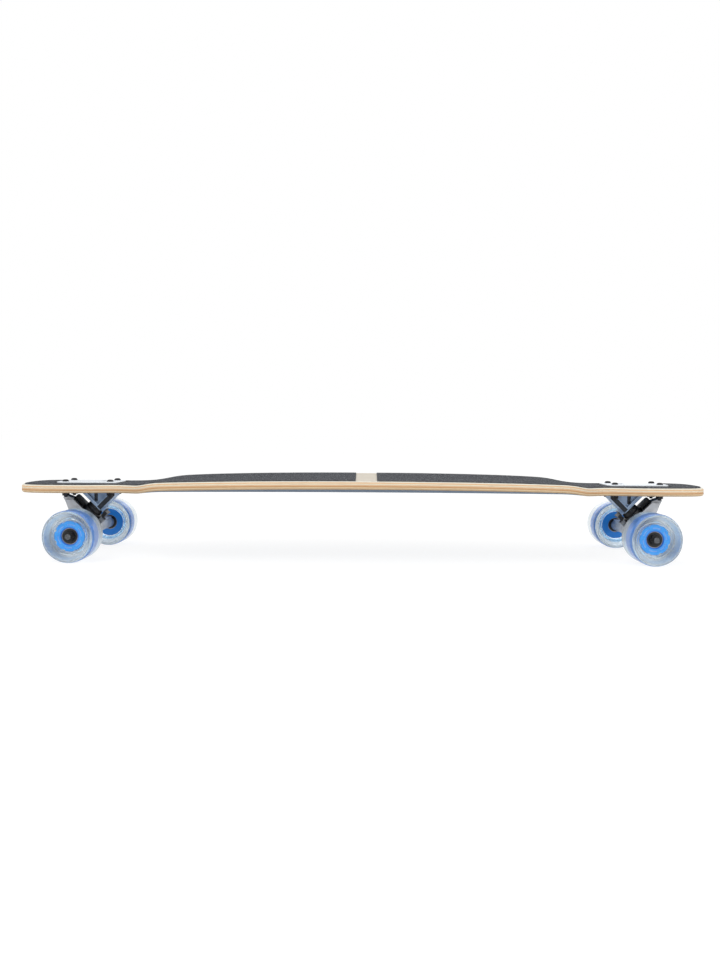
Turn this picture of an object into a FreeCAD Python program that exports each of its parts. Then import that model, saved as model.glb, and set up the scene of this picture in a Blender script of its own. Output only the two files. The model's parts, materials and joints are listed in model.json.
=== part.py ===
import FreeCAD, Part
import Sketcher
import math
import os
import re
from FreeCAD import Placement, Rotation, Vector

# Longboard with drop-through trucks.
# X runs along the board with the front at -X, Y runs across it, Z is up from the ground.

doc = FreeCAD.newDocument("longboard")
sheet = doc.addObject("Spreadsheet::Sheet", "Sizes")

sizes = {
    # the deck, a pressed laminate
    "deck_length": 966,
    "deck_width": 254,
    "deck_thickness": 11.2,
    "deck_round": 3,
    "concave_depth": 10,
    "camber_rise": 1.2,
    "concave_fade": 96,
    "platform_margin": 3.5,
    "nose_length": 70,
    "nose_width": 128,
    # grip sheets on the deck
    "grip_thickness": 0.9,
    "glue_gap": 0.25,
    "grip_inset": 4,
    "grip_window_margin": 4,
    "bare_strip_width": 32,
    "bare_strip_centre": 6,
    # layout of the running gear
    "axle_overhang": 94.5,
    "wheel_radius": 35,
    "truck_height": 65,
    "pivot_angle": 45,
    "ring_centre_x": 2,
    "ring_centre_drop": 40.5,
    # baseplate
    "plate_shift": 2,
    "plate_length": 86,
    "plate_width": 59,
    "plate_thickness": 3,
    "plate_corner": 6,
    "plate_edge_round": 1,
    "bolt_spacing_x": 63.5,
    "bolt_spacing_y": 41.3,
    "bolt_hole_radius": 2.75,
    "window_clearance": 0.5,
    "stem_inner_x": -34,
    "stem_outer_x": 22.5,
    "stem_width": 29,
    "seat_height": 11.8,
    "seat_recess": 3,
    "seat_wall": 8,
    "seat_rim": 1.2,
    "arm_wall": 1.6,
    "arm_thickness": 8.2,
    "face_arm_thickness": 4.5,
    "cheek_depth": 4.5,
    "cheek_rim": 5,
    "leg_thickness": 9,
    "groove_width": 5,
    "groove_depth": 1.5,
    "groove_centre_x": -6.5,
    "groove_length": 20.5,
    "foot_height": 3,
    "foot_width": 19,
    "gusset_height": 6.5,
    # mounting bolts and nuts
    "bolt_radius": 2.4,
    "bolt_head_radius": 4.6,
    "bolt_head_height": 2.8,
    "bolt_point": 2.1,
    "bolt_socket_radius": 1.7,
    "bolt_socket_depth": 1.6,
    "bolt_nut_corner": 5.3,
    "bolt_nut_height": 6,
    "thread_clearance": 0.08,
    # kingpin
    "kingpin_radius": 4.75,
    "kingpin_clearance": 0.3,
    "kingpin_head_corner": 7.2,
    "kingpin_head_height": 6,
    "kingpin_pocket_clearance": 0.4,
    "kingpin_pocket_room": 6,
    "access_centre_x": -21.5,
    "access_length": 18,
    "access_width": 17,
    "access_depth": 18,
    "kingpin_end": 3,
    "kingpin_nut_corner": 8,
    "kingpin_nut_height": 7.5,
    "kingpin_nut_collar": 2.2,
    # bushings and washer
    "bushing_radius": 12,
    "bushing_clearance": 0.3,
    "road_bushing_length": 9,
    "road_bushing_end_radius": 8.4,
    "bushing_groove": 0.8,
    "cup_washer_radius": 9.6,
    "cup_washer_thickness": 2,
    "cup_washer_lip": 1,
    # hanger
    "hanger_width": 180,
    "ring_radius": 15,
    "ring_thickness": 6,
    "ring_bore_radius": 7,
    "ring_recess": 1.2,
    "yoke_length": 31,
    "yoke_width": 14,
    "yoke_corner": 4,
    "web_gap": 0.6,
    "web_clearance": 1,
    "web_width": 24,
    "rib_inner_half_width": 13.2,
    "rib_thickness": 3.8,
    "rib_reach": 36,
    "rib_depth": 12.5,
    "wall_foot": 24,
    "wall_depth": 18,
    "wall_clearance": 1.2,
    "tongue_width": 22,
    "tongue_reach": 43,
    "tongue_top": 9.5,
    "tongue_end": 3.5,
    "beam_radius": 8,
    "beam_end_radius": 7.4,
    "beam_collar_radius": 6.6,
    "beam_collar_length": 4,
    "beam_middle_width": 44,
    "ledge_width": 11,
    "ledge_height": 2,
    "ledge_start": 23,
    "ledge_margin": 12,
    # pivot
    "nose_radius": 3.2,
    "nose_reach": 19.8,
    "pivot_clearance": 0.15,
    "pivot_cup_wall": 1.2,
    "pivot_cup_start": 15.8,
    "boss_wall": 1.2,
    "boss_neck": 3.2,
    "toe_clearance": 2.5,
    "press_clearance": 0.02,
    # axle and its hardware
    "axle_radius": 4,
    "axle_end": 4.4,
    "axle_lead_length": 3.8,
    "axle_lead_radius": 3.8,
    "axle_chamfer": 0.8,
    "axle_bore_clearance": 0.05,
    "axle_nut_corner": 7.3,
    "axle_nut_height": 5,
    "axle_nut_collar": 1.4,
    "washer_radius": 6,
    "washer_thickness": 0.9,
    # wheel
    "wheel_width": 51,
    "tread_width": 41.8,
    "lip_radius": 31,
    "face_recess": 7,
    "face_step_radius": 25.5,
    "core_radius": 20.4,
    "core_width": 29,
    "core_shoulder_radius": 9.4,
    "core_lobe_radius": 3,
    "core_lip_chamfer": 0.6,
    "core_slot_inner_radius": 14.6,
    "core_slot_outer_radius": 16.4,
    "core_slot_depth": 3,
    # bearing
    "bearing_radius": 11,
    "bearing_width": 7,
    "spacer_length": 10.2,
    "spacer_radius": 5.7,
    "bearing_seat_clearance": 0.02,
    "outer_ring_inner_radius": 9.3,
    "inner_ring_outer_radius": 6.05,
    "ball_radius": 1.95,
    "race_clearance": 0.08,
    "shield_thickness": 0.4,
    "shield_sink": 0.25,
    "shield_inner_radius": 6.35,
    "shield_edge_clearance": 0.02,
    # every cut runs this far past the face that it goes through
    "overrun": 2,
}

# control points of the deck's side, chosen by eye: share of the half length, share of the half width
side_pole_shares = (
    (0.735, 0.425),
    (0.690, 0.430),
    (0.650, 0.545),
    (0.612, 0.790),
    (0.530, 0.905),
    (0.400, 0.965),
    (0.200, 1.000),
)
# how far in from the nose's shoulder its width is held, and how square the nose's corners are
shoulder_hold_share = 0.790
nose_fullness_share = 0.84
concave_fade_share = 0.25
blank_margin_share = 0.1
stations_per_fade = 4
core_lobes = 8
core_slots = 6
slot_arc_share = 0.7
ball_count = 7

for row, (alias, number) in enumerate(sizes.items(), start=1):
    sheet.set(f"A{row}", alias.replace("_", " "))
    sheet.set(f"B{row}", str(number))
    sheet.setAlias(f"B{row}", alias)
doc.recompute()

nodes = []


# sizes are written as short sums of the sheet's words
def bound(text):
    def word(found):
        name = found.group()
        return "Sizes." + name if name in sizes else name
    return re.sub(r"[a-z_]+", word, text)


def bind(thing, prop, text):
    thing.setExpression(prop, bound(text))


def worth(text):
    return float(sheet.evalExpression(text))


def spot(x="0", y="0", z="0"):
    return Vector(worth(x), worth(y), worth(z))


def node(thing, label, placement=None):
    thing.Label = label
    if placement is not None:
        thing.Placement = placement
    nodes.append(thing)
    return thing


# basic solids with bound sizes, standing in a local frame
level = Placement()


def block(name, low, high, frame=level):
    box = doc.addObject("Part::Box", name)
    for prop, start, end in zip(("Length", "Width", "Height"), low, high):
        bind(box, prop, f"({end}) - ({start})")
    box.Placement = frame * Placement(spot(*low), Rotation())
    return box


along = {
    "x": Rotation(Vector(0, 1, 0), 90),
    "y": Rotation(Vector(1, 0, 0), -90),
    "z": Rotation(),
}


def rod(name, radius, axis, start, length, frame=level):
    cylinder = doc.addObject("Part::Cylinder", name)
    bind(cylinder, "Radius", radius)
    bind(cylinder, "Height", length)
    cylinder.Placement = frame * Placement(spot(*start), along[axis])
    return cylinder


def hexagon(name, corner, start, height, frame=level):
    prism = doc.addObject("Part::Prism", name)
    prism.Polygon = 6
    bind(prism, "Circumradius", corner)
    bind(prism, "Height", height)
    prism.Placement = frame * Placement(spot("0", "0", start), Rotation())
    return prism


def fused(name, shapes):
    joined = doc.addObject("Part::MultiFuse", name)
    joined.Shapes = shapes
    joined.Refine = True
    return joined


def cut(name, base, tools):
    tool = tools[0]
    if len(tools) > 1:
        tool = doc.addObject("Part::Compound", name + "_tools")
        tool.Links = tools
    taken = doc.addObject("Part::Cut", name)
    taken.Base = base
    taken.Tool = tool
    return taken


def common(name, one, other):
    shared = doc.addObject("Part::Common", name)
    shared.Base = one
    shared.Tool = other
    return shared


def group(name, links):
    several = doc.addObject("Part::Compound", name)
    several.Links = links
    return several


# a sketch whose corners are all held by bound distances from the origin
def outline(body, name, role, corners):
    sketch = body.newObject("Sketcher::SketchObject", name)
    plane = [f for f in body.Origin.OriginFeatures if f.Role == role][0]
    sketch.AttachmentSupport = (plane, [""])
    sketch.MapMode = "FlatFace"
    points = [spot(x, y) for x, y in corners]
    for index, point in enumerate(points):
        following = points[(index + 1) % len(points)]
        sketch.addGeometry(Part.LineSegment(point, following), False)
    for index in range(len(points)):
        following = (index + 1) % len(points)
        sketch.addConstraint(Sketcher.Constraint("Coincident", index, 2, following, 1))
    for index, (x, y) in enumerate(corners):
        for kind, text, number in (("DistanceX", x, points[index].x), ("DistanceY", y, points[index].y)):
            held = sketch.addConstraint(Sketcher.Constraint(kind, -1, 1, index, 1, number))
            bind(sketch, f"Constraints[{held}]", text)
    return sketch


# a piece turned on a lathe: corners are radius and height along its own Z axis
def turned(name, corners):
    body = doc.addObject("PartDesign::Body", name)
    sketch = outline(body, name + "_profile", "XZ_Plane", corners)
    turn = body.newObject("PartDesign::Revolution", name + "_turn")
    turn.Profile = sketch
    turn.ReferenceAxis = (sketch, ["V_Axis"])
    turn.Angle = 360
    sketch.Visibility = False
    return body


def padded_outline(name, role, corners, length, midplane=False):
    body = doc.addObject("PartDesign::Body", name)
    sketch = outline(body, name + "_outline", role, corners)
    pad = body.newObject("PartDesign::Pad", name + "_pad")
    pad.Profile = sketch
    if midplane:
        pad.Midplane = True
    bind(pad, "Length", length)
    return body, pad


def rounded(body, base, name, edges, radius):
    doc.recompute()
    fillet = body.newObject("PartDesign::Fillet", name)
    wanted = [f"Edge{i}" for i, edge in enumerate(base.Shape.Edges, start=1) if edges(edge)]
    fillet.Base = (base, wanted)
    bind(fillet, "Radius", radius)
    return fillet


def upright(edge):
    ends = [vertex.Point for vertex in edge.Vertexes]
    return len(ends) == 2 and (ends[1] - ends[0]).cross(Vector(0, 0, 1)).Length < edge.Length * 1e-6


# heights that several pieces share
platform_top = "wheel_radius + truck_height"
platform_bottom = "wheel_radius + truck_height - deck_thickness"
half_track = "hanger_width / 2 + washer_thickness + bearing_width + spacer_length / 2"
# the trucks stand a set way in from the deck's ends, and an axle carries its hardware with a free end
half_wheelbase = "(deck_length / 2 - axle_overhang)"
wheel_stack = "2 * washer_thickness + 2 * bearing_width + spacer_length"
half_axle = f"(hanger_width / 2 + {wheel_stack} + axle_nut_height + axle_nut_collar + axle_end)"


# Deck and grip

# the curved top of the board: a parabola across, flat under the trucks, hollow and arched between them
def board_face(lift):
    half_length = worth("deck_length / 2") * (1 + blank_margin_share)
    half_width = worth("deck_width / 2") * (1 + blank_margin_share)
    flat_from = worth(f"{half_wheelbase} + plate_shift - plate_length / 2 - platform_margin")
    step = worth("concave_fade") / stations_per_fade
    count = math.ceil(half_length / step)
    hollow_to = flat_from - 2 * step
    poles = []
    for station in range(-count, count + 1):
        x = station * step
        inside = abs(x) <= hollow_to
        along_share = min(abs(x) / flat_from, 1)
        rise = worth("camber_rise") * (1 - along_share ** 2) if inside else 0
        depth = worth("concave_depth") * (1 - concave_fade_share * along_share ** 2) if inside else 0
        depth = depth * (1 + blank_margin_share) ** 2
        middle = worth(platform_top) + lift + rise
        heights = ((-half_width, middle + depth), (0, middle - depth), (half_width, middle + depth))
        poles.append([Vector(x, y, z) for y, z in heights])
    spans = len(poles) - 3
    lengthwise = [4] + [1] * (spans - 1) + [4]
    surface = Part.BSplineSurface()
    surface.buildFromPolesMultsKnots(
        poles, lengthwise, [3, 3], [float(knot) for knot in range(spans + 1)], [0.0, 1.0], False, False, 3, 2)
    return surface.toShape()


# the board's plan: square ends with round corners, a neck at each truck and a wide waist
def board_plan(inset):
    half_length = worth("deck_length / 2")
    half_width = worth("deck_width / 2")
    nose_half_width = worth("nose_width / 2") - inset
    nose_length = worth("nose_length") - inset
    shoulder = half_length - inset - nose_length
    held_to = half_length * shoulder_hold_share
    side = [Vector(shoulder, nose_half_width, 0), Vector(held_to, nose_half_width, 0)]
    for length_share, width_share in side_pole_shares:
        side.append(Vector(half_length * length_share, half_width * width_share - inset, 0))
    side.append(Vector(0, half_width - inset, 0))
    side += [Vector(-point.x, point.y, 0) for point in reversed(side[:-1])]
    spans = len(side) - 3
    edges = []
    for turn in (1, -1):
        curve = Part.BSplineCurve()
        curve.buildFromPolesMultsKnots(
            [point * turn for point in side], [4] + [1] * (spans - 1) + [4],
            [float(knot) for knot in range(spans + 1)], False, 3)
        edges.append(curve.toShape())
        tip = shoulder + nose_length
        for flank in (nose_half_width, -nose_half_width):
            corner = Part.BezierCurve()
            corner.setPoles([pole * turn for pole in (
                Vector(-shoulder, flank, 0), Vector(-shoulder - nose_length * nose_fullness_share, flank, 0),
                Vector(-tip, flank * nose_fullness_share, 0), Vector(-tip, 0, 0))])
            edges.append(corner.toShape())
    return Part.Wire(Part.__sortEdges__(edges))


def board_sheet(lift, thickness, inset):
    slab = board_face(lift).extrude(Vector(0, 0, thickness))
    tall = worth("deck_thickness + concave_depth + camber_rise + overrun")
    plan = board_plan(inset)
    plan.translate(Vector(0, 0, worth(platform_top) - tall))
    return slab.common(Part.Face(plan).extrude(Vector(0, 0, 2 * tall)))


def round_rim(shape, radius):
    rim = []
    top = max(shape.Faces, key=lambda face: face.CenterOfMass.z)
    bottom = min(shape.Faces, key=lambda face: face.CenterOfMass.z)
    for face in (top, bottom):
        rim += face.OuterWire.Edges
    return shape.makeFillet(radius, rim)


def feature(name, shape):
    thing = doc.addObject("Part::Feature", name)
    thing.Shape = shape
    return thing


def truck_windows(name, margin_x, margin_y, low, high, length="plate_length", width="plate_width"):
    windows = []
    for end, sign in (("front", -1), ("rear", 1)):
        middle = f"{sign} * ({half_wheelbase} + plate_shift)"
        windows.append(block(
            f"{end}_{name}",
            (f"{middle} - {length} / 2 - {margin_x}", f"-{width} / 2 - {margin_y}", low),
            (f"{middle} + {length} / 2 + {margin_x}", f"{width} / 2 + {margin_y}", high)))
    return windows


bolt_places = [(x, y) for x in ("-bolt_spacing_x / 2", "bolt_spacing_x / 2")
               for y in ("-bolt_spacing_y / 2", "bolt_spacing_y / 2")]


def make_deck():
    blank = board_sheet(0, -worth("deck_thickness"), 0)
    blank = feature("deck_blank", round_rim(blank, worth("deck_round")))
    tools = []
    low = f"{platform_bottom} - overrun"
    high = f"{platform_top} + overrun"
    for end, sign in (("front", -1), ("rear", 1)):
        near = f"{half_wheelbase} + stem_inner_x - window_clearance"
        far = f"{half_wheelbase} + stem_outer_x + window_clearance"
        if sign < 0:
            near, far = f"-({far})", f"-({near})"
        side = "stem_width / 2 + window_clearance"
        tools.append(block(f"{end}_deck_window", (near, f"-({side})", low), (far, side, high)))
        for x, y in bolt_places:
            start = (f"{sign} * ({half_wheelbase} + plate_shift) + {x}", y, low)
            tools.append(rod(f"{end}_deck_hole", "bolt_hole_radius", "z", start, f"{high} - ({low})"))
    node(cut("deck_cut", blank, tools), "deck")


def make_grip():
    low = f"{platform_top} - overrun"
    high = f"{platform_top} + concave_depth + camber_rise + grip_thickness + overrun"
    strip_low = "bare_strip_centre - bare_strip_width / 2"
    strip_high = "bare_strip_centre + bare_strip_width / 2"
    far = "deck_length / 2 + overrun"
    side = "deck_width / 2 + overrun"
    halves = {
        "grip_tape_front": ((strip_low, f"-({side})", low), (far, side, high)),
        "grip_tape_rear": ((f"-({far})", f"-({side})", low), (strip_high, side, high)),
    }
    for label, (corner, opposite) in halves.items():
        sheet_shape = board_sheet(worth("glue_gap"), worth("grip_thickness"), worth("grip_inset"))
        blank = feature(label + "_blank", sheet_shape)
        tools = truck_windows(label + "_window", "grip_window_margin", "grip_window_margin", low, high)
        tools.append(block(label + "_other_half", corner, opposite))
        node(cut(label + "_cut", blank, tools), label)


# Trucks

# each truck is laid out about its axle's middle on the ground, with +X outward, and turned to its end
def truck_place(sign):
    turn = Rotation() if sign > 0 else Rotation(Vector(0, 0, 1), 180)
    return Placement(spot(f"{sign} * {half_wheelbase}"), turn)


# the steering frame: origin at the hanger ring, X up the pivot axis, Z up the kingpin
def steer_frame():
    centre = spot("ring_centre_x", "0", f"{platform_top} - ring_centre_drop")
    return Placement(centre, Rotation(Vector(0, 1, 0), -worth("pivot_angle")))


board_bushing_bottom = "ring_thickness / 2 - ring_recess"
board_bushing_top = "seat_height + seat_recess"
head_seat = "seat_height + seat_recess + seat_wall"
road_bushing_end = "-ring_thickness / 2 + ring_recess - road_bushing_length"
cup_washer_end = f"{road_bushing_end} - cup_washer_thickness"
kingpin_nut_end = f"{cup_washer_end} - kingpin_nut_height"
bushing_side = "-bushing_radius - bushing_clearance - web_clearance"
cup_radius = "nose_radius + pivot_clearance + pivot_cup_wall"
cup_end = "nose_reach + pivot_clearance + pivot_cup_wall"
boss_radius = f"{cup_radius} + boss_wall"
boss_end = f"{cup_end} + boss_wall"
pocket_radius = "kingpin_head_corner + kingpin_pocket_clearance"
arm_edge = f"{pocket_radius} + arm_wall"
gusset_edge = "bushing_radius + bushing_clearance + seat_rim"


def make_baseplate(end, place):
    tilt = steer_frame()
    half_stem = "stem_width / 2"
    plate_low = "plate_shift - plate_length / 2"
    plate_high = "plate_shift + plate_length / 2"
    flange, pad = padded_outline(
        end + "_flange", "XY_Plane",
        ((plate_low, "-plate_width / 2"), (plate_high, "-plate_width / 2"),
         (plate_high, "plate_width / 2"), (plate_low, "plate_width / 2")),
        "plate_thickness")
    corners = rounded(flange, pad, end + "_flange_corners", upright, "plate_corner")
    rounded(flange, corners, end + "_flange_rim", top_edge, "plate_edge_round")
    flange.Placement = Placement(spot(z=platform_top), Rotation())
    reach = "plate_length"
    wedge = block(end + "_wedge", (f"-({arm_edge})", f"-{half_stem}", "seat_height"),
                  (reach, half_stem, reach), tilt)
    room = block(end + "_stem_room", ("stem_inner_x", f"-{half_stem}", "wheel_radius"),
                 ("stem_outer_x", half_stem, f"{platform_top} + plate_thickness / 2"))
    stem = common(end + "_stem", wedge, room)
    # the arm thickens at its foot to carry the bushing seat and the pivot boss
    gusset = block(end + "_gusset", (f"-({gusset_edge})", "-foot_width / 2", "seat_height"),
                   ("0", "foot_width / 2", "seat_height + gusset_height"), tilt)
    boss = rod(end + "_pivot_boss", boss_radius, "x", (f"-({boss_end})", "0", "0"),
               f"{boss_end} - pivot_cup_start", tilt)
    boss_top = block(end + "_boss_top", ("-pivot_cup_start - boss_neck", f"-({boss_radius})", "0"),
                     ("-pivot_cup_start", boss_radius, "seat_height + foot_height"), tilt)
    foot = block(end + "_foot", ("-pivot_cup_start - boss_neck", "-foot_width / 2", "seat_height"),
                 ("0", "foot_width / 2", "seat_height + foot_height"), tilt)
    toe = block(end + "_toe",
                ("-pivot_cup_start - boss_neck", f"-({boss_radius})", "ring_thickness / 2 + toe_clearance"),
                (bushing_side, boss_radius, "seat_height + foot_height"), tilt)
    solid = fused(end + "_baseplate_solid", [flange, stem, gusset, boss, boss_top, toe, foot])
    tools = []
    for side in ("-1", "1"):
        floor = f"{half_stem} - cheek_depth"
        past = f"{half_stem} + overrun"
        low = f"min({side} * ({floor}); {side} * ({past}))"
        high = f"max({side} * ({floor}); {side} * ({past}))"
        hollow = block(end + "_cheek_wedge",
                       (f"-({arm_edge}) + arm_thickness", low, "seat_height + face_arm_thickness"),
                       (reach, high, reach), tilt)
        limit = block(end + "_cheek_room", ("stem_inner_x + leg_thickness", low, "wheel_radius"),
                      ("stem_outer_x", high, f"{platform_top} - cheek_rim"))
        tools.append(common(end + "_cheek", hollow, limit))
        low = f"min({side} * ({floor}); {side} * ({floor} - groove_depth))"
        high = f"max({side} * ({floor}); {side} * ({floor} - groove_depth))"
        tools.append(block(
            end + "_groove",
            ("groove_centre_x - groove_width / 2", low, f"{platform_top} - cheek_rim - groove_length"),
            ("groove_centre_x + groove_width / 2", high, f"{platform_top} - cheek_rim")))
    tools.append(rod(end + "_bushing_seat", "bushing_radius + bushing_clearance", "z",
                     ("0", "0", "seat_height - overrun"), "seat_recess + overrun", tilt))
    tools.append(rod(end + "_kingpin_hole", "kingpin_radius + kingpin_clearance", "z",
                     ("0", "0", "seat_height"), f"{head_seat} - seat_height + overrun", tilt))
    tools.append(rod(end + "_kingpin_pocket", pocket_radius, "z",
                     ("0", "0", head_seat), "kingpin_head_height + kingpin_pocket_room", tilt))
    tools.append(block(end + "_kingpin_access",
                       ("access_centre_x - access_length / 2", "-access_width / 2",
                        f"{platform_top} - access_depth"),
                       ("access_centre_x + access_length / 2", "access_width / 2",
                        f"{platform_top} + plate_thickness + overrun")))
    tools.append(rod(end + "_cup_bore", f"{cup_radius} + press_clearance", "x",
                     (f"-({cup_end}) - press_clearance", "0", "0"),
                     f"{cup_end} + press_clearance - pivot_cup_start + overrun", tilt))
    for x, y in bolt_places:
        tools.append(rod(end + "_plate_hole", "bolt_hole_radius", "z",
                         (f"plate_shift + {x}", y, f"{platform_top} - overrun"),
                         "plate_thickness + 2 * overrun"))
    node(cut(end + "_baseplate_cut", solid, tools), end + "_baseplate", place)


def top_edge(edge):
    return min(vertex.Z for vertex in edge.Vertexes) > worth("plate_thickness / 2")


def make_mounting(end, place):
    top = f"{platform_top} + plate_thickness"
    nut_bottom = f"{platform_bottom} - bolt_nut_height"
    shank = f"bolt_head_height + {top} - ({nut_bottom}) + bolt_point"
    bolts = []
    nuts = []
    for x, y in bolt_places:
        stands = Placement(spot(f"plate_shift + {x}", y, top), Rotation())
        bolt = turned(end + "_bolt", (
            ("0", f"bolt_head_height - ({shank})"),
            ("bolt_radius - thread_clearance", f"bolt_head_height - ({shank})"),
            ("bolt_radius", f"bolt_head_height - ({shank}) + bolt_radius / 2"),
            ("bolt_radius", "0"),
            ("bolt_head_radius", "0"),
            ("bolt_head_radius", "bolt_head_height / 3"),
            ("bolt_head_radius * 3 / 4", "bolt_head_height * 7 / 8"),
            ("bolt_head_radius / 2", "bolt_head_height"),
            ("0", "bolt_head_height")))
        bolt.Placement = stands
        socket = hexagon(end + "_bolt_socket", "bolt_socket_radius",
                         "bolt_head_height - bolt_socket_depth", "bolt_socket_depth + overrun", stands)
        bolts.append(cut(end + "_bolt_cut", bolt, [socket]))
        hangs = Placement(spot(f"plate_shift + {x}", y, nut_bottom), Rotation())
        nut = hexagon(end + "_nut", "bolt_nut_corner", "0", "bolt_nut_height", hangs)
        bore = rod(end + "_nut_bore", "bolt_radius + thread_clearance", "z", ("0", "0", "-overrun"),
                   "bolt_nut_height + 2 * overrun", hangs)
        nuts.append(cut(end + "_nut_cut", nut, [bore]))
    node(group(end + "_bolt_group", bolts), end + "_mounting_bolts", place)
    node(group(end + "_nut_group", nuts), end + "_mounting_nuts", place)


def make_kingpin(end, place):
    tilted = place * steer_frame()
    shank_end = f"{kingpin_nut_end} - kingpin_end"
    shank = rod(end + "_kingpin_shank", "kingpin_radius", "z", ("0", "0", shank_end),
                f"{head_seat} - ({shank_end})")
    head = hexagon(end + "_kingpin_head", "kingpin_head_corner", head_seat, "kingpin_head_height")
    node(fused(end + "_kingpin_solid", [shank, head]), end + "_kingpin", tilted)
    nut = hexagon(end + "_kingpin_nut_hex", "kingpin_nut_corner", f"{kingpin_nut_end} + kingpin_nut_collar",
                  "kingpin_nut_height - kingpin_nut_collar")
    collar = rod(end + "_kingpin_nut_ring", "kingpin_nut_corner * 3 / 4", "z",
                 ("0", "0", kingpin_nut_end), "kingpin_nut_height / 2")
    bore = rod(end + "_kingpin_nut_bore", "kingpin_radius + thread_clearance", "z",
               ("0", "0", f"{kingpin_nut_end} - overrun"), "kingpin_nut_height + 2 * overrun")
    nut_solid = fused(end + "_kingpin_nut_solid", [nut, collar])
    node(cut(end + "_kingpin_nut_cut", nut_solid, [bore]), end + "_kingpin_nut", tilted)


def make_bushings(end, place):
    tilted = place * steer_frame()
    bore = "kingpin_radius + thread_clearance"
    middle = f"({board_bushing_bottom} + {board_bushing_top}) / 2"
    node(turned(end + "_board_bushing_turned", (
        (bore, board_bushing_bottom),
        ("bushing_radius", board_bushing_bottom),
        ("bushing_radius", f"{middle} - bushing_groove"),
        ("bushing_radius - bushing_groove", middle),
        ("bushing_radius", f"{middle} + bushing_groove"),
        ("bushing_radius", board_bushing_top),
        (bore, board_bushing_top))), end + "_board_bushing", tilted)
    start = "-ring_thickness / 2 + ring_recess"
    straight = "-ring_thickness / 2 - bushing_groove"
    node(turned(end + "_road_bushing_turned", (
        (bore, start),
        ("bushing_radius", start),
        ("bushing_radius", straight),
        ("road_bushing_end_radius", road_bushing_end),
        (bore, road_bushing_end))), end + "_road_bushing", tilted)
    lip = "cup_washer_thickness / 2"
    node(turned(end + "_cup_washer_turned", (
        (bore, cup_washer_end),
        ("cup_washer_radius - cup_washer_lip", cup_washer_end),
        ("cup_washer_radius", f"{cup_washer_end} + {lip}"),
        ("cup_washer_radius", f"{road_bushing_end} + cup_washer_lip"),
        ("cup_washer_radius - cup_washer_lip / 2", f"{road_bushing_end} + cup_washer_lip"),
        ("cup_washer_radius - cup_washer_lip / 2", road_bushing_end),
        (bore, road_bushing_end))), end + "_cup_washer", tilted)


def make_pivot_cup(end, place):
    tilted = place * steer_frame()
    down_axis = Placement(Vector(), Rotation(Vector(0, 1, 0), -90))
    bore = "nose_radius + pivot_clearance"
    node(turned(end + "_pivot_cup_turned", (
        (bore, "pivot_cup_start"),
        (cup_radius, "pivot_cup_start"),
        (cup_radius, cup_end),
        ("0", cup_end),
        ("0", "nose_reach + pivot_clearance"),
        (f"({bore}) / 2", "nose_reach + pivot_clearance"),
        (bore, "nose_reach + pivot_clearance - nose_radius / 2"))), end + "_pivot_cup", tilted * down_axis)


# the axle's place seen from the steering frame
def axle_in_steer():
    return steer_frame().inverse().multVec(spot(z="wheel_radius"))


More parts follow.
